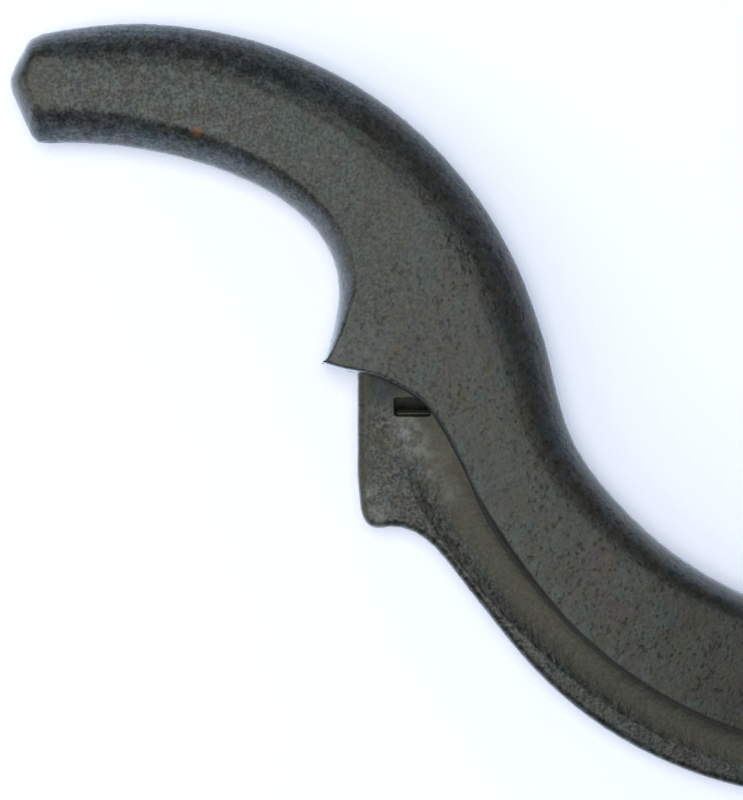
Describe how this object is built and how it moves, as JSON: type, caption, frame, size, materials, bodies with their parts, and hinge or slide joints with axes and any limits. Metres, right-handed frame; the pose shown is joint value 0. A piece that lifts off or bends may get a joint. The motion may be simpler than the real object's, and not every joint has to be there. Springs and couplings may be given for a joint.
{
  "type": "folding hand sickle",
  "caption": "S-shaped cast iron handle with a horn grip and a finger spur, and a crescent blade that folds into it on a bolted pivot.",
  "frame": {"origin": "on the axis of the blade's pivot, in the plane of the handle's flat rear face", "axes": "+Z along the pivot's axis, from the rear face to the front; +X from the horn grip to the pivot end, along the closed tool's length; +Y towards the horn's outer curve"},
  "size_m": [0.2748, 0.1937, 0.0206],
  "materials": {
    "handle_iron": "pitted and rust-stained",
    "blade_iron": "pitted, brown with rust",
    "steel": "dull and tarnished",
    "spring_steel": "blued",
    "bronze": "dull"
  },
  "bodies": {
    "handle": {"front_casting": "handle_iron", "rear_casting": "handle_iron", "front_thrust_washer": "bronze", "rear_thrust_washer": "bronze", "pivot_bolt": "steel", "head_washer": "steel", "pivot_nut": "steel", "leaf_spring": "spring_steel", "spring_pin": "steel", "open_stop_pin": "steel", "rest_pin": "steel", "horn_dowel": "steel", "neck_dowel": "steel", "horn_end_screw": "steel", "horn_screw": "steel", "neck_screw": "steel", "bend_screw": "steel", "back_screw": "steel"},
    "blade": {"blade": "blade_iron", "tang_bush": "bronze"}
  },
  "joints": [
    {"name": "blade_pivot", "type": "hinge", "parent": "handle", "child": "blade", "pos_m": [0, 0, 0], "axis": [0, 0, 1], "range_deg": [0, 180]}
  ]
}
